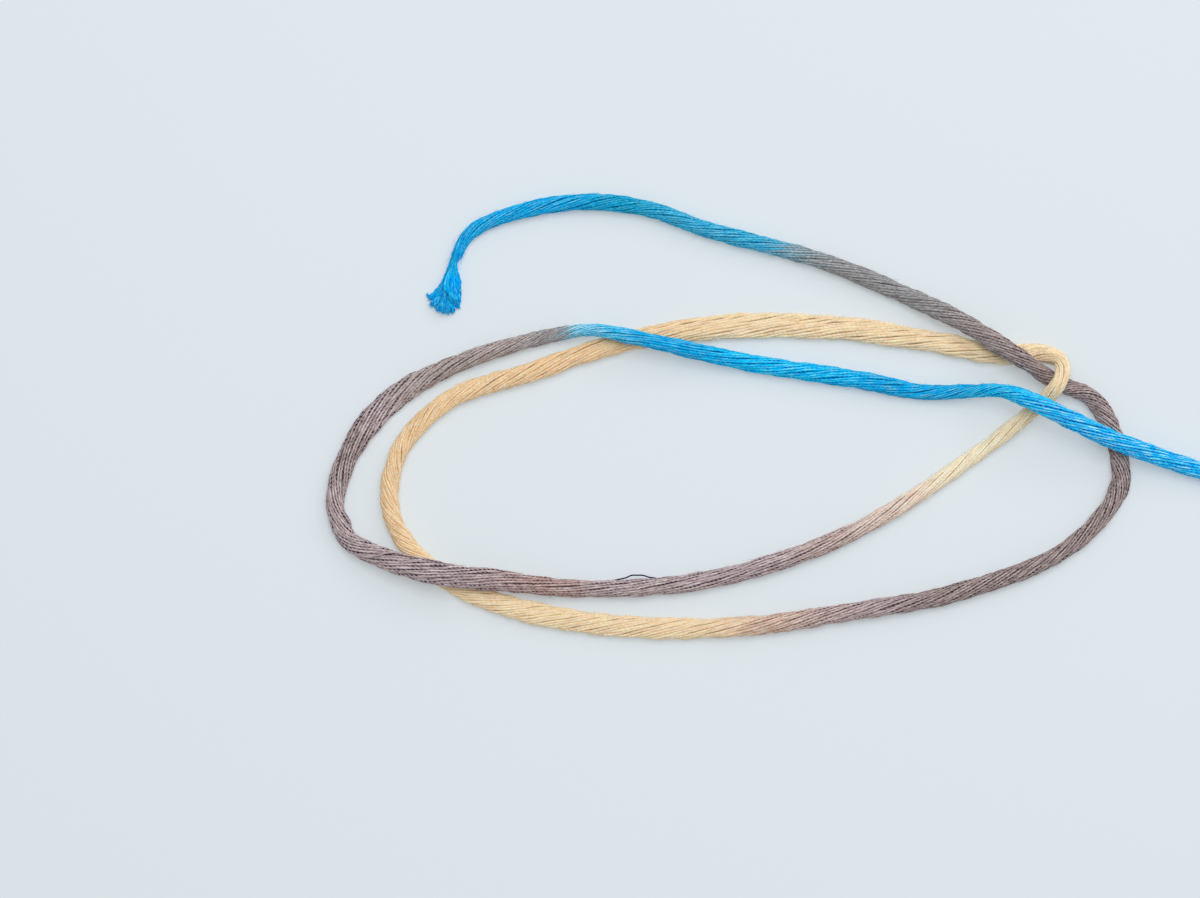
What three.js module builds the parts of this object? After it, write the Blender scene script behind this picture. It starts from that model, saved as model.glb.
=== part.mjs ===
// A length of plied cotton cord, dyed in blue, brown, cream and rose, that lies on a flat surface in loose
// loops and crosses itself six times. It is one piece of cord, so it is one solid.
// Millimetres, +Z up. The origin is the middle of the cord's outline, on the surface that it lies on.
import * as THREE from 'three';

// Width times height: where the cord spreads out flat it gets thinner, and it is never taller than wide.
const WIDTH_TIMES_HEIGHT = 8.8;
const SECTION_SIDES = 8;
// The longest step between two sections of the solid, about four widths on the straighter stretches.
const LONGEST_STEP = 16;
// The dye in the middle of the cord's length, and its dull matt surface.
const CORD_COLOUR = 0x9a8478;
const CORD_ROUGHNESS = 0.95;

// The route, from the frayed end to the cut end.
// Columns: x, y, lift of the underside above the surface, width.
const ROUTE = [
  // Frayed brush, tight neck and first arc
  [-63, 17, 0, 4.6], [-61.5, 25.7, 0, 1.7], [-58.5, 31.4, 0, 2.3], [-48.5, 35.4, 0, 2.7],
  [-38, 36.6, 0, 2.9], [-28, 35.4, 0, 2.8], [-18.5, 32, 0, 2.8], [1.5, 26.5, 0, 2.9], [14, 21.4, 0, 3.2],
  // Over the first loop's top stretch, and down under its tight turn and the tail
  [25, 16, 1.7, 3.2], [31.6, 11.7, 3, 3.2], [36.1, 8.8, 3.1, 3], [41.2, 5.7, 0.6, 2.6],
  [47.4, 3, 0, 3.1], [50.6, -2, 0, 3.3],
  // First loop: round the right, along the bottom, round the left and back along the top
  [52.2, -12, 0, 3.3], [43.5, -22.5, 0, 2.8], [24.5, -30.2, 0, 3.1], [6, -33.6, 0, 3.1],
  [-11.5, -36, 0, 3.3], [-29.5, -36.2, 0, 3.8], [-46.5, -34, 0, 3.8], [-58, -30.4, 0, 3.6],
  [-66.4, -25.2, 0, 3.3], [-71.4, -18.5, 0, 3.1], [-72.2, -11.8, 0, 3.1], [-69.8, -4.8, 0, 3.1],
  [-62, 2.7, 0, 3.2], [-48.5, 7.3, 0, 3.4], [-32, 12.6, 0, 3.4], [-14, 15.2, 0, 4.4],
  [4, 15, 0, 4.2], [20, 12.7, 0, 3.7], [32, 10.4, 0, 3.7],
  // Tight turn up over the first arc, and down again
  [38.6, 10.6, 0.1, 3.2], [42.1, 9, 2.2, 2.7], [41.5, 5.2, 4.4, 2.6], [37.4, 0.8, 2, 2.6],
  [29.3, -5.6, 0, 2.6],
  // Second loop: back along the middle, over the first loop, round the left and back along the top
  [11.3, -17.5, 0, 2.9], [-3, -24, 0, 3.1], [-21, -28.6, 0, 3.1], [-40.5, -29.6, 0, 2.9],
  [-53.4, -28.3, 2.1, 3.6], [-63.8, -27.1, 3.2, 4.1], [-72.9, -24.6, 2, 3.7], [-79.6, -20.8, 0, 3.2],
  [-81.5, -15, 0, 3.1], [-78.9, -6, 0, 3.8], [-72.2, 2.4, 0, 4.4], [-62, 8.3, 0, 3.2],
  [-45, 13.6, 0, 2.4],
  // Over the first loop again, and along the tail over the tight turn and the first arc
  [-37.8, 14.4, 2, 2.1], [-31.3, 13.2, 3.2, 2.5], [-21, 11, 1.9, 2.8], [-10, 8.8, 0, 3],
  [8, 6, 0, 3.1], [18.2, 4, 0, 2.7], [27.5, 4, 1.8, 2.2], [32.1, 3.8, 4.1, 2.5],
  [37.6, 1.5, 5.9, 3.1], [44, -1.5, 5, 3.3], [50.7, -4.5, 3.5, 3.2], [59, -7.3, 1.4, 3.1],
  [68.5, -10.3, 0, 3], [82.7, -14, 0, 3],
];

const sectionHeight = (width) => Math.min(width, WIDTH_TIMES_HEIGHT / width);

// A spline through the route's points. Its sections stay upright, with a flat side down. Their frames carry
// the half width and half height, so a section of half size one takes the cord's size at each station.
class CordRoute extends THREE.CatmullRomCurve3 {
  constructor(rows) {
    super(rows.map(([x, y, lift]) => new THREE.Vector3(x, y, lift)));
    this.widths = rows.map((row) => row[3]);
    this.stations = this.placeStations();
  }

  // Evenly spaced steps between each two points of the route, none longer than the longest step.
  placeStations() {
    const spans = this.points.length - 1;
    const stations = [];
    for (let span = 0; span < spans; span++) {
      const gap = this.points[span].distanceTo(this.points[span + 1]);
      const steps = Math.ceil(gap / LONGEST_STEP);
      for (let step = 0; step < steps; step++) stations.push((span + step / steps) / spans);
    }
    return [...stations, 1];
  }

  widthAt(t) {
    const place = t * (this.points.length - 1);
    const span = Math.min(Math.floor(place), this.points.length - 2);
    return THREE.MathUtils.lerp(this.widths[span], this.widths[span + 1], place - span);
  }

  // The middle of the section. Its underside never goes below the surface.
  centreAt(t) {
    const centre = this.getPoint(t);
    centre.z = Math.max(centre.z, 0) + sectionHeight(this.widthAt(t)) / 2;
    return centre;
  }

  getSpacedPoints() {
    return this.stations.map((t) => this.centreAt(t));
  }

  computeFrenetFrames() {
    const up = new THREE.Vector3(0, 0, 1);
    const tangents = this.stations.map((t) => this.getTangent(t).setZ(0).normalize());
    const normals = tangents.map((tangent, i) =>
      new THREE.Vector3().crossVectors(up, tangent).multiplyScalar(this.widthAt(this.stations[i]) / 2));
    const binormals = this.stations.map((t) => up.clone().multiplyScalar(sectionHeight(this.widthAt(t)) / 2));
    return { tangents, normals, binormals };
  }
}

// An octagon one unit from its middle to each flat side.
function octagon() {
  const cornerRadius = 1 / Math.cos(Math.PI / SECTION_SIDES);
  const corners = Array.from({ length: SECTION_SIDES }, (_, i) => {
    const angle = ((i + 0.5) * 2 * Math.PI) / SECTION_SIDES;
    return new THREE.Vector2(cornerRadius * Math.cos(angle), cornerRadius * Math.sin(angle));
  });
  return new THREE.Shape(corners);
}

function cord() {
  const route = new CordRoute(ROUTE);
  const geometry = new THREE.ExtrudeGeometry(octagon(), {
    extrudePath: route,
    steps: route.stations.length - 1,
  });
  const material = new THREE.MeshStandardMaterial({
    color: CORD_COLOUR,
    roughness: CORD_ROUGHNESS,
    metalness: 0,
  });
  const mesh = new THREE.Mesh(geometry, material);
  mesh.name = 'cord';
  return mesh;
}

const part = new THREE.Group();
part.add(cord());

export default part;
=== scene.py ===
"""A loose length of plied cotton cord, dyed in blue, brown, cream and rose, in loops on a pale table."""

import math

import bpy
import numpy as np
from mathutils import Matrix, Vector


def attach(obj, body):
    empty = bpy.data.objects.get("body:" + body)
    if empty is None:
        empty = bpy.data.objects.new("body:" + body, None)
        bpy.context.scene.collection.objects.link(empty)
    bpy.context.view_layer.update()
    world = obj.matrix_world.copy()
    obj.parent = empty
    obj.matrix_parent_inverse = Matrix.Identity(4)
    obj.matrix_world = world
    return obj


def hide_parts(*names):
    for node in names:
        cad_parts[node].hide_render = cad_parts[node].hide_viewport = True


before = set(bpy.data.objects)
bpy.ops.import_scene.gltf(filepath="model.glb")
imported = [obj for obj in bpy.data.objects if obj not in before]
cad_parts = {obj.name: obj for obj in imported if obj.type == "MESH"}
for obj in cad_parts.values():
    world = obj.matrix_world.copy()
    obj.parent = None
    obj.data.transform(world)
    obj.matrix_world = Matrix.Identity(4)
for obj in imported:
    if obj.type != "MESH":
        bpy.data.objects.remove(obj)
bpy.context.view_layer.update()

# Camera
# It looks almost straight down on the loops from a desk's height, and the tail runs out of its view at the
# right edge.
VIEW_CENTRE = Vector((-0.0364, -0.0057, 0.0))
VIEW_ELEVATION = math.radians(86)
VIEW_DISTANCE = 0.65
SENSOR_WIDTH = 36.0
# How much of the table the picture's width takes in.
VIEW_WIDTH = 0.2051

away = Vector((0.0, -math.cos(VIEW_ELEVATION), math.sin(VIEW_ELEVATION)))
camera_data = bpy.data.cameras.new("camera")
camera_data.sensor_width = SENSOR_WIDTH
camera_data.lens = SENSOR_WIDTH * VIEW_DISTANCE / VIEW_WIDTH
camera_data.clip_start = 0.01
camera_data.clip_end = 10.0
camera = bpy.data.objects.new("camera", camera_data)
camera.location = VIEW_CENTRE + away * VIEW_DISTANCE
camera.rotation_mode = "QUATERNION"
camera.rotation_quaternion = (-away).to_track_quat("-Z", "Y")
bpy.context.scene.collection.objects.link(camera)
bpy.context.scene.camera = camera

# The cord's outer yarns
# Eighteen soft cotton yarns of two plies each lie round a core and are twisted together to the left,
# loosely and unevenly. The cord was dyed in the hank, so its colour changes along its length, for each
# yarn at its own place.

# The route, in metres: x, y, lift of the underside above the table, width.
ROUTE = [
    # Frayed brush, tight neck and first arc
    (-0.063, 0.017, 0, 0.0046), (-0.0615, 0.0257, 0, 0.0017), (-0.0585, 0.0314, 0, 0.0023),
    (-0.0485, 0.0354, 0, 0.0027), (-0.038, 0.0366, 0, 0.0029), (-0.028, 0.0354, 0, 0.0028),
    (-0.0185, 0.032, 0, 0.0028), (0.0015, 0.0265, 0, 0.0029), (0.014, 0.0214, 0, 0.0032),
    # Over the first loop's top stretch, and down under its tight turn and the tail
    (0.025, 0.016, 0.0017, 0.0032), (0.0316, 0.0117, 0.003, 0.0032), (0.0361, 0.0088, 0.0031, 0.003),
    (0.0412, 0.0057, 0.0006, 0.0026), (0.0474, 0.003, 0, 0.0031), (0.0506, -0.002, 0, 0.0033),
    # First loop: round the right, along the bottom, round the left and back along the top
    (0.0522, -0.012, 0, 0.0033), (0.0435, -0.0225, 0, 0.0028), (0.0245, -0.0302, 0, 0.0031),
    (0.006, -0.0336, 0, 0.0031), (-0.0115, -0.036, 0, 0.0033), (-0.0295, -0.0362, 0, 0.0038),
    (-0.0465, -0.034, 0, 0.0038), (-0.058, -0.0304, 0, 0.0036), (-0.0664, -0.0252, 0, 0.0033),
    (-0.0714, -0.0185, 0, 0.0031), (-0.0722, -0.0118, 0, 0.0031), (-0.0698, -0.0048, 0, 0.0031),
    (-0.062, 0.0027, 0, 0.0032), (-0.0485, 0.0073, 0, 0.0034), (-0.032, 0.0126, 0, 0.0034),
    (-0.014, 0.0152, 0, 0.0044), (0.004, 0.015, 0, 0.0042), (0.02, 0.0127, 0, 0.0037),
    (0.032, 0.0104, 0, 0.0037),
    # Tight turn up over the first arc, and down again
    (0.0386, 0.0106, 0.0001, 0.0032), (0.0421, 0.009, 0.0022, 0.0027), (0.0415, 0.0052, 0.0044, 0.0026),
    (0.0374, 0.0008, 0.002, 0.0026), (0.0293, -0.0056, 0, 0.0026),
    # Second loop: back along the middle, over the first loop, round the left and back along the top
    (0.0113, -0.0175, 0, 0.0029), (-0.003, -0.024, 0, 0.0031), (-0.021, -0.0286, 0, 0.0031),
    (-0.0405, -0.0296, 0, 0.0029), (-0.0534, -0.0283, 0.0021, 0.0036), (-0.0638, -0.0271, 0.0032, 0.0041),
    (-0.0729, -0.0246, 0.002, 0.0037), (-0.0796, -0.0208, 0, 0.0032), (-0.0815, -0.015, 0, 0.0031),
    (-0.0789, -0.006, 0, 0.0038), (-0.0722, 0.0024, 0, 0.0044), (-0.062, 0.0083, 0, 0.0032),
    (-0.045, 0.0136, 0, 0.0024),
    # Over the first loop again, and along the tail over the tight turn and the first arc
    (-0.0378, 0.0144, 0.002, 0.0021), (-0.0313, 0.0132, 0.0032, 0.0025), (-0.021, 0.011, 0.0019, 0.0028),
    (-0.01, 0.0088, 0, 0.003), (0.008, 0.006, 0, 0.0031), (0.0182, 0.004, 0, 0.0027),
    (0.0275, 0.004, 0.0018, 0.0022), (0.0321, 0.0038, 0.0041, 0.0025), (0.0376, 0.0015, 0.0059, 0.0031),
    (0.044, -0.0015, 0.005, 0.0033), (0.0507, -0.0045, 0.0035, 0.0032), (0.059, -0.0073, 0.0014, 0.0031),
    (0.0685, -0.0103, 0, 0.003), (0.0827, -0.014, 0, 0.003),
]
# Where the cord spreads out flat it gets thinner, and it is never taller than wide.
WIDTH_TIMES_HEIGHT = 8.8e-6
CORD_DIAMETER = 0.0031
# How far apart the places are at which the cord's shape is worked out.
STATION_SPACING = 0.00035


def unit(vectors):
    return vectors / np.linalg.norm(vectors, axis=-1, keepdims=True)


def spline(rows, per_span):
    """Points on a centripetal spline through the rows, and the row number that each lies at."""
    place = np.linspace(0, len(rows) - 1, (len(rows) - 1) * per_span + 1)
    span = np.minimum(place.astype(int), len(rows) - 2)
    padded = np.vstack([2 * rows[0] - rows[1], rows, 2 * rows[-1] - rows[-2]])
    before, start, end, after = (padded[span + k] for k in range(4))
    gap0, gap1, gap2 = (
        np.linalg.norm(b - a, axis=1, keepdims=True) ** 0.5
        for a, b in ((before, start), (start, end), (end, after))
    )
    leave = ((start - before) / gap0 - (end - before) / (gap0 + gap1) + (end - start) / gap1) * gap1
    arrive = ((end - start) / gap1 - (after - start) / (gap1 + gap2) + (after - end) / gap2) * gap1
    w = (place - span)[:, None]
    points = (
        start + leave * w + (3 * (end - start) - 2 * leave - arrive) * w**2
        + (2 * (start - end) + leave + arrive) * w**3
    )
    return points, place


def lengths_along(points):
    return np.concatenate([[0], np.cumsum(np.linalg.norm(np.diff(points, axis=0), axis=1))])


def resampled(values, at, where):
    return np.stack([np.interp(where, at, column) for column in values.T], axis=1)


route = np.array(ROUTE)
points, place = spline(route[:, :3], per_span=40)
width = np.interp(place, np.arange(len(route)), route[:, 3])
height = np.minimum(width, WIDTH_TIMES_HEIGHT / width)
points[:, 2] = np.maximum(points[:, 2], 0) + height / 2
reached = lengths_along(points)
CORD_LENGTH = reached[-1]
along = np.linspace(0, CORD_LENGTH, round(CORD_LENGTH / STATION_SPACING) + 1)
centre = resampled(points, reached, along)
half_width = np.interp(along, reached, width) / 2
half_height = np.interp(along, reached, height) / 2
heading = unit(np.gradient(centre, axis=0))
to_left = unit(np.cross([0, 0, 1], heading))
upward = np.cross(heading, to_left)

# How steeply the yarns run round the cord on its top side: distance along the cord in metres, degrees from
# the cord's own line.
TWIST = [
    (0, 6), (0.018, 8), (0.03, 13), (0.042, 16), (0.054, 14), (0.066, 12), (0.078, 14), (0.09, 16),
    (0.103, 20), (0.115, 12), (0.128, 22), (0.138, 28), (0.146, 16), (0.153, 12), (0.175, 13),
    (0.199, 10), (0.223, 12), (0.235, 16), (0.259, 20), (0.271, 22), (0.283, 27), (0.295, 23),
    (0.307, 14), (0.319, 17), (0.331, 8), (0.355, 6), (0.367, 10), (0.379, 10), (0.391, 14),
    (0.403, 14), (0.416, 10), (0.428, 9), (0.44, 13), (0.452, 10), (0.464, 7), (0.476, 3), (0.488, 5),
    (0.524, 6), (0.536, 10), (0.548, 17), (0.56, 16), (0.572, 6), (0.585, 15), (0.597, 9), (0.609, 17),
    (0.621, 8), (0.633, 2), (0.645, 9), (0.657, 13), (0.669, 9), (0.681, 14), (0.693, 14), (0.706, 11),
    (0.718, 8), (0.745, 6),
]
twist_at, twist_degrees = np.array(TWIST, float).T
YARN_RADIUS = 0.00025
steepness = np.tan(np.radians(np.interp(along, twist_at, twist_degrees)))
turned = -np.cumsum(steepness / (half_width + half_height - 2 * YARN_RADIUS) * 2) * (along[1] - along[0])


def drift(rng, where, waves):
    """A slow random change along the cord: a sum of waves of each (length, size) with random starts."""
    return sum(
        size * np.sin(2 * math.pi * where / (length * rng.uniform(0.8, 1.25)) + rng.uniform(0, 2 * math.pi))
        for length, size in waves
    )


# Each dye in daylight, the painted shade for the grooves between its yarns (for cream lighter than the dye,
# painted light that fills them), and the painted highlight for the fibres that lie up: red, green and blue
# from 0 to 1 on a screen's scale.
DYES_WITH_PAINTED_LIGHT = {
    "cobalt": ((0.0, 0.64, 0.98), (0.0, 0.44, 0.82), (0.10, 0.70, 0.98)),
    "azure": ((0.04, 0.71, 0.94), (0.0, 0.46, 0.70), (0.52, 0.82, 0.90)),
    "bright": ((0.04, 0.78, 1.0), (0.0, 0.44, 0.76), (0.50, 0.92, 1.0)),
    "sky": ((0.11, 0.77, 1.0), (0.0, 0.40, 0.78), (0.76, 0.95, 1.0)),
    "teal": ((0.08, 0.67, 0.84), (0.0, 0.36, 0.52), (0.36, 0.75, 0.84)),
    "sea": ((0.24, 0.72, 0.88), (0.05, 0.42, 0.60), (0.50, 0.82, 0.90)),
    "haze": ((0.50, 0.84, 0.94), (0.14, 0.56, 0.72), (0.92, 0.97, 1.0)),
    "lagoon": ((0.26, 0.80, 0.96), (0.02, 0.50, 0.74), (0.78, 0.94, 1.0)),
    "mist": ((0.58, 0.68, 0.72), (0.38, 0.46, 0.50), (0.68, 0.75, 0.77)),
    "slate": ((0.62, 0.61, 0.61), (0.50, 0.48, 0.49), (0.68, 0.68, 0.67)),
    "taupe": ((0.65, 0.60, 0.59), (0.34, 0.27, 0.29), (0.76, 0.72, 0.70)),
    "fawn": ((0.72, 0.66, 0.64), (0.46, 0.38, 0.39), (0.82, 0.77, 0.75)),
    "umber": ((0.64, 0.56, 0.55), (0.09, 0.04, 0.09), (0.84, 0.79, 0.77)),
    "mauve": ((0.74, 0.66, 0.66), (0.14, 0.03, 0.22), (0.93, 0.87, 0.86)),
    "rosewood": ((0.74, 0.61, 0.58), (0.15, 0.04, 0.15), (0.90, 0.81, 0.78)),
    "rose": ((0.79, 0.70, 0.67), (0.42, 0.28, 0.31), (0.93, 0.87, 0.84)),
    "peach": ((0.86, 0.75, 0.67), (0.76, 0.56, 0.46), (0.95, 0.88, 0.82)),
    "cream": ((0.97, 0.855, 0.705), (1.0, 0.92, 0.75), (1.0, 0.91, 0.80)),
    "honey": ((0.95, 0.825, 0.665), (0.99, 0.82, 0.61), (1.0, 0.89, 0.75)),
    "ivory": ((0.99, 0.92, 0.80), (1.0, 0.88, 0.72), (1.0, 0.97, 0.90)),
    "blush": ((0.93, 0.85, 0.79), (0.84, 0.66, 0.58), (0.99, 0.94, 0.90)),
}
# Where each dye is full: distance along the cord in metres, dye.
DYED = [
    (0, "cobalt"), (0.0085, "cobalt"), (0.0125, "azure"), (0.032, "azure"), (0.042, "teal"),
    (0.056, "sea"), (0.0675, "sea"), (0.0725, "mist"), (0.08, "slate"), (0.094, "slate"),
    (0.106, "taupe"), (0.118, "umber"), (0.186, "umber"), (0.195, "mauve"), (0.205, "rose"),
    (0.2145, "peach"), (0.225, "cream"), (0.264, "cream"), (0.28, "honey"), (0.345, "honey"),
    (0.36, "cream"), (0.425, "cream"), (0.436, "ivory"), (0.446, "ivory"), (0.455, "blush"),
    (0.468, "rose"), (0.48, "mauve"), (0.508, "mauve"), (0.518, "rosewood"), (0.532, "mauve"),
    (0.56, "mauve"), (0.57, "umber"), (0.578, "mauve"), (0.587, "fawn"), (0.603, "fawn"),
    (0.612, "slate"), (0.6155, "haze"), (0.62, "lagoon"), (0.6275, "azure"), (0.634, "azure"),
    (0.642, "bright"), (0.658, "bright"), (0.667, "azure"), (0.682, "azure"), (0.69, "bright"),
    (0.699, "sky"), (0.75, "sky"),
]


def linear(colour):
    """A screen colour as the amount of light that it stands for."""
    colour = np.asarray(colour, float)
    return np.where(colour <= 0.04045, colour / 12.92, ((colour + 0.055) / 1.055) ** 2.4)


dye_at = np.array([distance for distance, _ in DYED])
# Nine columns: the dye itself, its painted shade for the grooves, its painted highlight for the fibres that
# lie up.
dye_and_painted_light_columns = linear([np.concatenate(DYES_WITH_PAINTED_LIGHT[dye]) for _, dye in DYED])


# The dye, with its painted shade and painted highlight, at each distance along the cord.
def dyed(where):
    return resampled(dye_and_painted_light_columns, dye_at, where)


def tube(points, outward, radius, sides):
    """Rings of points round a line. Each starts on its inner side, away from outward, to hide the seam."""
    direction = unit(np.gradient(points, axis=0))
    outward = unit(outward - (outward * direction).sum(1, keepdims=True) * direction)
    sideways = np.cross(direction, outward)
    angle = np.linspace(-math.pi, math.pi, sides, endpoint=False)
    return points[:, None] + np.reshape(radius, (-1, 1, 1)) * (
        np.cos(angle)[None, :, None] * outward[:, None] + np.sin(angle)[None, :, None] * sideways[:, None]
    )


def tubes_object(name, tubes, material):
    """One object of many closed tubes: (rings, nine colour columns of each ring, distance of each ring)."""
    corners, faces, colours, uvs, first = [], [], [], [], 0
    for number, (rings, colour, distance) in enumerate(tubes):
        count, sides = rings.shape[:2]
        corners += [rings.reshape(-1, 3), rings[:1].mean(1), rings[-1:].mean(1)]
        colours += [np.repeat(colour, sides, axis=0), colour[:1], colour[-1:]]
        ring, side = (
            grid.ravel() for grid in np.meshgrid(np.arange(count - 1), np.arange(sides), indexing="ij")
        )
        following = (side + 1) % sides
        this_ring, next_ring = first + ring * sides, first + (ring + 1) * sides
        faces.append(np.stack(
            [this_ring + side, this_ring + following, next_ring + following, next_ring + side], 1
        ))
        round_now, round_next = number + side / sides, number + (side + 1) / sides
        uvs.append(np.stack([
            np.stack([distance[ring], round_now], 1), np.stack([distance[ring], round_next], 1),
            np.stack([distance[ring + 1], round_next], 1), np.stack([distance[ring + 1], round_now], 1),
        ], 1))
        middle, around = first + count * sides, np.arange(sides)
        following = (around + 1) % sides
        for end, base, pair in ((0, 0, (following, around)), (1, (count - 1) * sides, (around, following))):
            # A cap is drawn as four-cornered faces too, with its middle point twice.
            hub = np.full(sides, middle + end)
            faces.append(np.stack([hub, first + base + pair[0], first + base + pair[1], hub], 1))
            uvs.append(np.tile([[distance[-end], number + 0.5]], (sides, 4, 1)))
        first += count * sides + 2
    corners, faces, colours, uvs = (np.concatenate(parts) for parts in (corners, faces, colours, uvs))
    is_cap = faces[:, 0] == faces[:, 3]
    sizes = np.where(is_cap, 3, 4)
    starts = np.concatenate([[0], np.cumsum(sizes)[:-1]])
    keep = np.ones(faces.shape, bool)
    keep[is_cap, 3] = False
    mesh = bpy.data.meshes.new(name)
    mesh.vertices.add(len(corners))
    mesh.vertices.foreach_set("co", corners.astype(np.float32).ravel())
    mesh.loops.add(int(sizes.sum()))
    mesh.loops.foreach_set("vertex_index", faces[keep].astype(np.int32))
    mesh.polygons.add(len(faces))
    mesh.polygons.foreach_set("loop_start", starts.astype(np.int32))
    mesh.polygons.foreach_set("use_smooth", ~is_cap)
    mesh.uv_layers.new(name="yarn").data.foreach_set("uv", uvs[keep].astype(np.float32).ravel())
    # The dye, its painted shade for the grooves and its painted highlight go onto the mesh as three colours.
    for attribute, column in (("dye", 0), ("painted_hollow_shade", 3), ("painted_highlight", 6)):
        data = mesh.attributes.new(attribute, "FLOAT_COLOR", "POINT").data
        opaque = np.column_stack([colours[:, column:column + 3], np.ones(len(colours))])
        data.foreach_set("color", opaque.astype(np.float32).ravel())
    mesh.materials.append(material)
    mesh.update()
    mesh.validate()
    made = bpy.data.objects.new(name, mesh)
    bpy.context.scene.collection.objects.link(made)
    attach(made, "root")
    return made


# How much of a yarn's length one bead of its two plies takes, and how long the dashes of painted shade and
# painted highlight are.
PLY_BEAD = 0.00075
DASH_LENGTH = 0.0022


def cotton(name, painted_shade_strength, flecks, fleck_length, relief):
    """Matt dyed cotton with pale dashes of painted highlight on the fibres that lie up, dark dashes of
    painted shade in the grooves and the beads of its plies.
    """
    material = bpy.data.materials.new(name)
    material.use_nodes = True
    nodes, link = material.node_tree.nodes, material.node_tree.links.new
    shader = nodes["Principled BSDF"]
    shader.inputs["Roughness"].default_value = 0.95
    shader.inputs["Specular IOR Level"].default_value = 0.05
    shader.inputs["Subsurface Weight"].default_value = 0.5
    shader.inputs["Subsurface Radius"].default_value = (1.0, 1.0, 1.0)
    shader.inputs["Subsurface Scale"].default_value = 0.00012

    def colour_of(attribute):
        reader = nodes.new("ShaderNodeAttribute")
        reader.attribute_name = attribute
        return reader.outputs["Color"]

    def worked(operation, *values):
        """A Math node on sockets and numbers."""
        node = nodes.new("ShaderNodeMath")
        node.operation = operation
        for socket, value in zip(node.inputs, values):
            if isinstance(value, float):
                socket.default_value = value
            else:
                link(value, socket)
        return node.outputs["Value"]

    def ranged(value, low, high, to_low, to_high):
        node = nodes.new("ShaderNodeMapRange")
        limits = {"From Min": low, "From Max": high, "To Min": to_low, "To Max": to_high}
        for socket, number in limits.items():
            node.inputs[socket].default_value = number
        link(value, node.inputs["Value"])
        return node.outputs["Result"]

    yarn = nodes.new("ShaderNodeUVMap")
    yarn.uv_map = "yarn"

    def stretched(along_scale, turn_scale):
        mapping = nodes.new("ShaderNodeMapping")
        mapping.inputs["Scale"].default_value = (along_scale, turn_scale, 1)
        link(yarn.outputs["UV"], mapping.inputs["Vector"])
        return mapping.outputs["Vector"]

    def streaks(length, around, detail):
        noise = nodes.new("ShaderNodeTexNoise")
        noise.inputs["Scale"].default_value = 1.0
        noise.inputs["Detail"].default_value = detail
        noise.inputs["Roughness"].default_value = 0.6
        link(stretched(1 / length, around), noise.inputs["Vector"])
        return noise.outputs["Fac"]

    # Two plies wind round each other to the right: two waves in a turn, one in each PLY_BEAD of length.
    plies = nodes.new("ShaderNodeTexWave")
    plies.bands_direction = "DIAGONAL"
    plies.inputs["Scale"].default_value = 1.0
    plies.inputs["Distortion"].default_value = 1.5
    plies.inputs["Detail Scale"].default_value = 0.5
    link(stretched(-2 * math.pi / 10 / PLY_BEAD, 4 * math.pi / 10), plies.inputs["Vector"])
    ply = plies.outputs["Fac"]

    split = nodes.new("ShaderNodeSeparateXYZ")
    link(yarn.outputs["UV"], split.inputs["Vector"])
    # Half at the yarn's outer side, a quarter at its flanks.
    outermost = worked("PINGPONG", split.outputs["Y"], 0.5)
    # Painted shade: the grooves' darker colour covers each yarn except its outer side, in broken dashes, and
    # is strongest between the beads of its plies.
    opening = ranged(streaks(DASH_LENGTH, around=1.3, detail=2.0), 0.4, 0.54, 0.1, 1.0)
    painted_hollow_shade = worked("MULTIPLY", ranged(outermost, 0.44, 0.355, 0.0, 1.0), opening)
    painted_hollow_shade = worked("MULTIPLY", painted_hollow_shade, ranged(ply, 0.15, 0.85, painted_shade_strength, painted_shade_strength * 0.25))
    # Painted highlight: paler dashes of fibres on each yarn's outer side, where they would catch the light.
    painted_highlight = ranged(streaks(DASH_LENGTH, around=7.0, detail=2.0), 0.5, 0.62, 0.0, 0.85)
    painted_highlight = worked("MULTIPLY", painted_highlight, ranged(outermost, 0.34, 0.44, 0.0, 1.0))
    fibres = streaks(fleck_length, around=5.0, detail=3.0)

    def mixed(factor, under, over):
        node = nodes.new("ShaderNodeMix")
        node.data_type = "RGBA"
        link(factor, node.inputs["Factor"])
        link(under, node.inputs["A"])
        link(over, node.inputs["B"])
        return node.outputs["Result"]

    tone = nodes.new("ShaderNodeGamma")
    link(colour_of("dye"), tone.inputs["Color"])
    link(ranged(fibres, 0.32, 0.68, 1 + flecks, 1 - flecks), tone.inputs["Gamma"])
    # The painted highlight is mixed over the flecked dye, and the painted shade over both.
    with_painted_highlight = mixed(painted_highlight, tone.outputs["Color"], colour_of("painted_highlight"))
    link(mixed(painted_hollow_shade, with_painted_highlight, colour_of("painted_hollow_shade")), shader.inputs["Base Color"])

    bump = nodes.new("ShaderNodeBump")
    bump.inputs["Strength"].default_value = 0.7
    bump.inputs["Distance"].default_value = relief
    link(worked("MULTIPLY_ADD", ply, 0.5, fibres), bump.inputs["Height"])
    link(bump.outputs["Normal"], shader.inputs["Normal"])
    return material


OUTER_YARNS = 18
YARN_SIDES = 8
# The distances along the cord between which the yarns come apart, and how unevenly the far end is cut.
YARN_STARTS = (0.0095, 0.0112)
CUT_UNEVENNESS = 0.0004
GROUPS = 4
yarn_cotton = cotton("dyed cotton yarn", painted_shade_strength=1.0, flecks=0.46, fleck_length=0.0007, relief=0.00008)
# How far along the cord one yarn's dye may lie from where it lies on average.
DYE_SHIFT = 0.002
rng = np.random.default_rng(7)
# The cord isn't quite even: it swells and narrows a little all along, and its yarns do so with it.
half_width = half_width * (1 + drift(rng, along, [(0.011, 0.025), (0.0046, 0.022), (0.0021, 0.012)]))
crowding = np.sqrt((half_width**2 + half_height**2) / 2) / (CORD_DIAMETER / 2)


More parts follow.
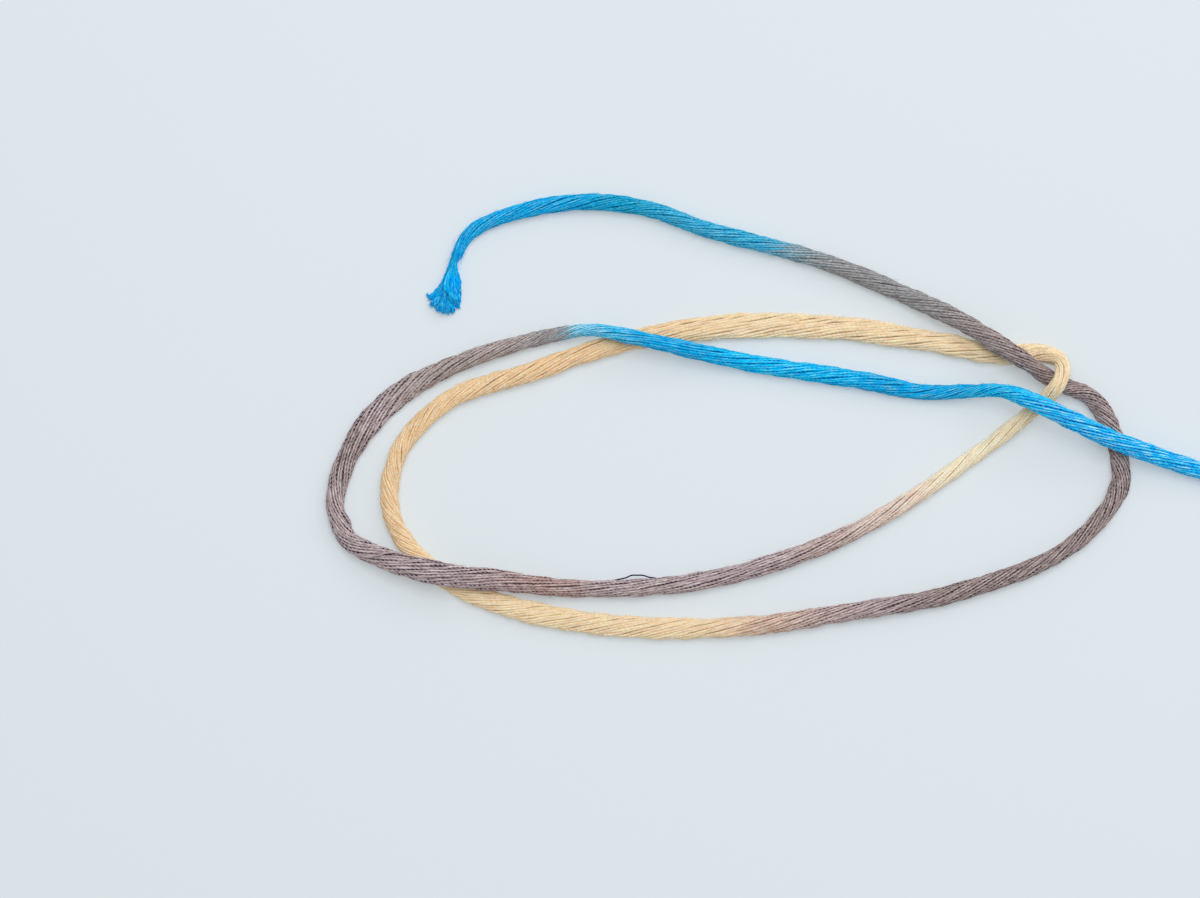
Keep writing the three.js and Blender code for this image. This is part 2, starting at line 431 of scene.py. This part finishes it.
def coloured(rng, where):
    """The nine colour columns along one yarn, dyed at its own place and unevenly."""
    colour = dyed(where + rng.uniform(-DYE_SHIFT, DYE_SHIFT) + drift(rng, where, [(0.015, 0.0012)]))
    shade = rng.uniform(0.95, 1.05) + drift(rng, where, [(0.009, 0.04), (0.0033, 0.04)])
    return np.clip(colour * shade[:, None], 0, 1)


def laid_yarn(rng, angle, depth, radius, sides, wander, first, last, step=1):
    """One yarn in the cord between two distances. depth is 1 in the outer layer and 0 in the middle."""
    inside = np.flatnonzero((along >= first) & (along <= last))[::step]
    where = along[inside]
    angle = angle + turned[inside] + drift(rng, where, [(0.031, wander), (0.011, wander * 0.6)])
    # On a flattened stretch the yarns keep their spacing round the oval.
    wide, tall = half_width[inside] ** 2, half_height[inside] ** 2
    angle = angle + (wide - tall) / (wide + tall) / 4 * np.sin(2 * angle)
    depth = depth * (1 - np.clip(drift(rng, where, [(0.019, 0.05), (0.0062, 0.05)]), -0.04, 1))
    radius = radius * crowding[inside] * (1 + drift(rng, where, [(0.017, 0.05), (0.0041, 0.04)]))
    # The yarn thins out over its last millimetre at the frayed end, where its plies part.
    radius = radius * np.clip(0.35 + (where - first) / 0.0012, 0.35, 1)
    across = np.cos(angle) * (half_width[inside] - radius) * depth
    above = np.sin(angle) * (half_height[inside] - radius) * depth
    line = centre[inside] + across[:, None] * to_left[inside] + above[:, None] * upward[inside]
    outward = np.cos(angle)[:, None] * to_left[inside] + np.sin(angle)[:, None] * upward[inside]
    return tube(line, outward, radius, sides), coloured(rng, where), where + rng.uniform(0, 0.02)


outer = []
for number in range(OUTER_YARNS):
    outer.append(laid_yarn(
        rng,
        angle=2 * math.pi * number / OUTER_YARNS,
        depth=1.0,
        radius=YARN_RADIUS * rng.uniform(0.94, 1.08),
        sides=YARN_SIDES,
        wander=0.05,
        first=rng.uniform(*YARN_STARTS),
        last=CORD_LENGTH - CUT_UNEVENNESS * rng.uniform(0, 1),
    ))
groups = [
    tubes_object(f"outer_yarns_{group + 1}", outer[group::GROUPS], yarn_cotton) for group in range(GROUPS)
]
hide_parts("cord")

# The core yarns
# Nine more yarns of the same cotton, twisted with the outer ones round a thicker one, fill the middle of
# the cord. They show only where the outer ones part, and at the cut end.
CORE_YARNS = 9
CORE_SIDES = 6
CORE_WANDER = 0.15
CORE_START = 0.0105
core = []
for number in range(CORE_YARNS):
    core.append(laid_yarn(
        rng,
        angle=2 * math.pi * number / CORE_YARNS,
        depth=0.55,
        radius=YARN_RADIUS * 1.25,
        sides=CORE_SIDES,
        wander=CORE_WANDER,
        first=CORE_START,
        last=CORD_LENGTH - 0.0003 * rng.uniform(0, 1),
        step=3,
    ))
core.append(laid_yarn(
    rng,
    angle=0,
    depth=0.0,
    radius=YARN_RADIUS * 1.8,
    sides=CORE_SIDES,
    wander=CORE_WANDER,
    first=CORE_START,
    last=CORD_LENGTH - 0.0002,
    step=3,
))
core_yarns = tubes_object("core_yarns", core, yarn_cotton)

# The frayed brush
# At the start of the cord its yarns come apart beyond a tight neck into their soft cotton plies. These
# swell, cling together in a few uneven clumps that bend to the left, and were cut off bluntly with
# scissors. Fine fibres stand out of their ends.
NECK = np.array((-0.06149, 0.02634, 0.0009))
NECK_RADIUS = 0.00075
# How far from the cord's middle the yarns lie where they come apart.
PARTING_RADIUS = 0.0009
# The clumps from the right to the left: where each ends and where it bends, in metres, how far its plies
# curl round each other in turns, its radius, how many plies it has, and how much light it shows.
CLUMPS = [
    ((-0.0609, 0.0187, 0.0004), (-0.0605, 0.0214, 0.0009), 0.1, 0.0003, 8, 1.0),
    ((-0.0615, 0.0197, 0.0010), (-0.0610, 0.0225, 0.0011), 0.4, 0.0010, 46, 1.02),
    ((-0.0614, 0.0198, 0.0018), (-0.0626, 0.0221, 0.0020), 0.6, 0.0006, 16, 1.15),
    ((-0.0622, 0.0179, 0.0009), (-0.0619, 0.0217, 0.0010), 0.3, 0.0009, 36, 0.98),
    ((-0.0636, 0.0181, 0.0008), (-0.0627, 0.0217, 0.0010), 0.35, 0.0009, 34, 0.9),
    ((-0.0649, 0.0190, 0.0007), (-0.0632, 0.0218, 0.0008), 0.3, 0.0007, 24, 0.96),
    ((-0.0653, 0.0202, 0.0005), (-0.0633, 0.0225, 0.0007), 0.1, 0.0004, 16, 1.05),
]
# Two wisps that have come away at the left: where each starts and ends, and how many fibres it has.
WISPS = [
    ((-0.0652, 0.0202, 0.0004), (-0.0660, 0.0208, 0.0003), 26),
    ((-0.0650, 0.0192, 0.0003), (-0.0655, 0.0190, 0.0002), 12),
]
PLY_RADIUS = 0.00023
OUTER_YARN_PLIES = 7
CORE_YARN_PLIES = 6
# A ply keeps the crimp of its twist: how long one crimp is, and how far it goes to the side at the tip.
PLY_CRIMP = 0.0012
CRIMP_SIZE = 0.00012
TIP_FIBRES = 7
SIDE_FIBRES = 5
UP = np.array((0.0, 0.0, 1.0))


def curve(start, leaving, arriving, end, count):
    """Points on a smooth bow from start to end, with the two handles that it leaves and arrives by."""
    t = np.linspace(0, 1, count)[:, None]
    return (1 - t)**3 * start + 3 * (1 - t)**2 * t * leaving + 3 * (1 - t) * t**2 * arriving + t**3 * end


def fibre(points, outward, thick, thin, colour, lowest=0.00004, distance=0.0):
    """One fine fibre along the points, none of them lower than the table, as tubes_object takes it."""
    count = len(points)
    points[:, 2] = np.maximum(points[:, 2], lowest)
    rings = tube(points, np.tile(outward, (count, 1)), np.linspace(thick, thin, count), sides=3)
    return rings, np.clip(np.repeat(colour, count, axis=0), 0, 1), distance + lengths_along(points)


def across_clump(turn, spread, sideways, over):
    """A step from a clump's middle line. The clumps are a little flatter than wide."""
    return spread * (math.cos(turn) * sideways + 0.8 * math.sin(turn) * over)


brush_cotton = cotton("frayed dyed cotton", painted_shade_strength=0.1, flecks=0.4, fleck_length=0.0009, relief=0.00004)
roots = []
for number, (rings, colour, _) in enumerate(outer + core[:CORE_YARNS]):
    is_outer = number < OUTER_YARNS
    # The plies start about a millimetre inside the end of their yarn.
    root = rings[3 if is_outer else 1].mean(0)
    for _ in range(OUTER_YARN_PLIES if is_outer else CORE_YARN_PLIES):
        rightness = float(root[0] + root[1]) + rng.normal(0, 0.0003)
        roots.append((rightness, root + rng.normal(0, 0.00007, 3), colour[:1]))
roots.sort(key=lambda entry: -entry[0])
gathered = np.mean([root for _, root, _ in roots], axis=0)
in_clump = np.repeat(np.arange(len(CLUMPS)), [clump[4] for clump in CLUMPS])
plies = []
# The brush's fine fibres join the loose ones along the cord in one object.
fibres = []
for (_, root, colour), clump in zip(roots, in_clump):
    end, bend, curl, clump_radius, _, light = CLUMPS[clump]
    end, bend = np.array(end), np.array(bend)
    forward = unit(end - bend)
    sideways = unit(np.cross(forward, UP))
    over = np.cross(sideways, forward)
    turn = rng.uniform(0, 2 * math.pi)
    spread = clump_radius * math.sqrt(rng.random())
    through_neck = NECK + (root - gathered) * (NECK_RADIUS - PLY_RADIUS) / PARTING_RADIUS
    through_bend = bend + across_clump(turn, 0.75 * spread, sideways, over)
    tip = (
        end + across_clump(turn + 2 * math.pi * curl, spread, sideways, over)
        + forward * rng.normal(0, 0.00016)
    )
    line, _ = spline(np.array([root, through_neck, through_bend, tip]), per_span=7)
    grown = np.linspace(0, 1, len(line))
    crimp = 2 * math.pi * lengths_along(line) / PLY_CRIMP + rng.uniform(0, 2 * math.pi)
    line += (grown * CRIMP_SIZE)[:, None] * (
        np.cos(crimp)[:, None] * sideways + np.sin(crimp)[:, None] * over
    )
    swell = PLY_RADIUS * rng.uniform(0.8, 1.2) * np.interp(
        grown, (0, 0.2, 0.5, 0.95, 1), (0.5, 0.6, 1, 1.05, 0.85)
    )
    line[:, 2] = np.maximum(line[:, 2], swell)
    shade = np.clip(colour * light * rng.uniform(0.92, 1.1), 0, 1)
    plies.append((
        tube(line, np.tile(UP, (len(line), 1)), swell, sides=6),
        np.repeat(shade, len(line), axis=0),
        lengths_along(line) + rng.uniform(0, 0.05),
    ))
    for _ in range(TIP_FIBRES):
        start = line[-1] + rng.normal(0, 0.0001, 3)
        point = start + unit(forward + rng.normal(0, 0.6, 3)) * rng.uniform(0.00008, 0.0004)
        hair = curve(line[-2], start, (start + point) / 2 + rng.normal(0, 0.00007, 3), point, count=5)
        fibres.append(fibre(hair, UP, 0.00006, 0.000025, shade * 1.1))
    for _ in range(SIDE_FIBRES):
        start = line[rng.integers(8, len(line) - 1)]
        point = start + unit(forward + rng.normal(0, 0.8, 3)) * rng.uniform(0.0003, 0.0006)
        hair = curve(
            start, start + rng.normal(0, 0.0002, 3), point + rng.normal(0, 0.0001, 3), point, count=5
        )
        fibres.append(fibre(hair, UP, 0.00004, 0.00002, shade * 1.2))
wisp_shade = outer[0][1][:1] * 1.25
for corner, wisp, count in WISPS:
    corner, wisp = np.array(corner), np.array(wisp)
    for _ in range(count):
        point = wisp + rng.normal(0, 0.0002, 3) * (1, 1, 0.4)
        hair = curve(
            corner, corner + rng.normal(0, 0.0002, 3), wisp + rng.normal(0, 0.0003, 3), point, count=6
        )
        fibres.append(fibre(hair, UP, 0.000035, 0.000025, wisp_shade))
brush_plies = tubes_object("brush_plies", plies, brush_cotton)

# The stray threads
# Single cotton plies have been pulled out of the cord: one lies slantwise over it, one bows off its edge,
# and two make a small bump on the inside of the left bend.

# Each thread's points: distance along the cord, degrees round it from its left side over its top, and how
# far off its surface, both distances in metres. Then its radius, and whether it is coloured all over with
# the painted shade of the grooves, made a little lighter.
STRAYS = [
    ([(0.5495, 55, -0.0001), (0.5482, 74, 0.0001), (0.547, 94, 0.0003), (0.5462, 112, 0.0004),
      (0.5448, 132, 0.0003), (0.543, 146, 0.0001), (0.54, 152, 0.00005), (0.536, 156, 0.0),
      (0.532, 158, -0.0002)],
     0.00015, False),
    ([(0.5075, 172, -0.0002), (0.506, 172, 0.0), (0.5045, 172, 0.0003), (0.5035, 172, 0.0006),
      (0.5024, 172, 0.0006), (0.5014, 172, 0.0005), (0.5004, 172, 0.0002), (0.499, 172, -0.0001)],
     0.00012, True),
    ([(0.5592, 150, -0.0002), (0.5582, 160, 0.0001), (0.5573, 170, 0.0003), (0.5564, 174, 0.0003),
      (0.5556, 176, 0.0001), (0.5548, 178, -0.0002)], 0.0002, False),
    ([(0.5588, 140, -0.0002), (0.5579, 148, 0.0001), (0.557, 156, 0.0003), (0.5562, 162, 0.0002),
      (0.5552, 168, -0.0002)], 0.0002, False),
]
strays = []
for points, radius, in_painted_shade in STRAYS:
    line, _ = spline(np.array(points), per_span=8)
    where, angle, lift = line[:, 0], np.radians(line[:, 1]), line[:, 2:]
    middle, left_here, up_here = (resampled(values, along, where) for values in (centre, to_left, upward))
    wide, tall = np.interp(where, along, half_width)[:, None], np.interp(where, along, half_height)[:, None]
    outward = np.cos(angle)[:, None] * left_here + np.sin(angle)[:, None] * up_here
    line = middle + (
        np.cos(angle)[:, None] * (wide + lift) * left_here
        + np.sin(angle)[:, None] * (tall + lift) * up_here
    )
    colour = dyed(where)
    # Such a thread takes the dye's painted shade, made a little lighter, as its whole colour.
    if in_painted_shade:
        colour = np.tile(colour[:, 3:6] * 1.4, 3)
    strays.append((tube(line, outward, radius, sides=8), np.clip(colour, 0, 1), where))
stray_threads = tubes_object("stray_threads", strays, yarn_cotton)

# The loose fibres
# Short cotton fibres stand out all along the cord, lying along it more than across it, and give it a soft
# edge. They are finer than the yarns and have worked loose from them.
FIBRES = 5200
FIBRE_LENGTHS = (0.0005, 0.0017)
FIBRE_LEANS = (0.1, 0.55)
loose_cotton = cotton("loose cotton fibre", painted_shade_strength=0.0, flecks=0.3, fleck_length=0.001, relief=0.00001)
for place in np.sort(rng.uniform(0.006, CORD_LENGTH - 0.001, FIBRES)):
    station = int(np.searchsorted(along, place))
    angle = rng.uniform(0, 2 * math.pi)
    outward = math.cos(angle) * to_left[station] + math.sin(angle) * upward[station]
    root = centre[station] + (
        math.cos(angle) * half_width[station] * to_left[station]
        + math.sin(angle) * half_height[station] * upward[station]
    ) * 0.95
    sideways = math.cos(angle) * upward[station] - math.sin(angle) * to_left[station]
    length = rng.uniform(*FIBRE_LENGTHS)
    run = heading[station] * rng.choice((-1, 1)) + sideways * rng.normal(0, 0.5)
    lean = rng.uniform(*FIBRE_LEANS)
    hair = curve(
        root,
        root + (run + outward * lean) * length * 0.33,
        root + (run * 0.7 + outward * lean) * length * 0.66,
        root + (run * rng.uniform(0.5, 1) + outward * lean * rng.uniform(0.3, 1)) * length,
        count=4,
    )
    colour = dyed(np.array([place])) * 1.1
    fibres.append(fibre(hair, outward, 0.000022, 0.00001, colour, lowest=0.00003, distance=place))
loose_fibres = tubes_object("loose_fibres", fibres, loose_cotton)

# Table and light
# A plain pale table, lit from overhead by a wide soft lamp, from the far right by a weaker one, and by the
# bright room. The table's own faint glow keeps the shadows as light as those of a white room.
bpy.ops.object.select_all(action="DESELECT")
bpy.ops.mesh.primitive_plane_add(size=3.0, location=(0, 0, 0))
table = bpy.context.object
table.name = "table"
table_finish = bpy.data.materials.new("pale table")
table_finish.use_nodes = True
table_shader = table_finish.node_tree.nodes["Principled BSDF"]
table_shader.inputs["Base Color"].default_value = (0.505, 0.535, 0.555, 1)
table_shader.inputs["Roughness"].default_value = 0.7
table_shader.inputs["Specular IOR Level"].default_value = 0.1
table_shader.inputs["Emission Color"].default_value = (0.9, 0.97, 1.0, 1)
table_shader.inputs["Emission Strength"].default_value = 0.28
table.data.materials.append(table_finish)


def soft_lamp(name, place, width, depth, energy):
    lamp_data = bpy.data.lights.new(name, "AREA")
    lamp_data.shape = "RECTANGLE"
    lamp_data.size = width
    lamp_data.size_y = depth
    lamp_data.energy = energy
    lamp_data.color = (0.96, 0.98, 1.0)
    lamp = bpy.data.objects.new(name, lamp_data)
    lamp.location = place
    lamp.rotation_mode = "QUATERNION"
    lamp.rotation_quaternion = (-lamp.location).to_track_quat("-Z", "Y")
    bpy.context.scene.collection.objects.link(lamp)


soft_lamp("overhead lamp", (0.05, 0.27, 1.1), width=0.7, depth=0.7, energy=6.6)
soft_lamp("far right lamp", (0.6, 0.65, 0.7), width=0.6, depth=0.6, energy=3.0)

room = bpy.data.worlds.new("bright room")
room.use_nodes = True
room.node_tree.nodes["Background"].inputs["Color"].default_value = (0.93, 0.97, 1.0, 1)
room.node_tree.nodes["Background"].inputs["Strength"].default_value = 0.42
bpy.context.scene.world = room
bpy.context.scene.view_settings.view_transform = "Standard"
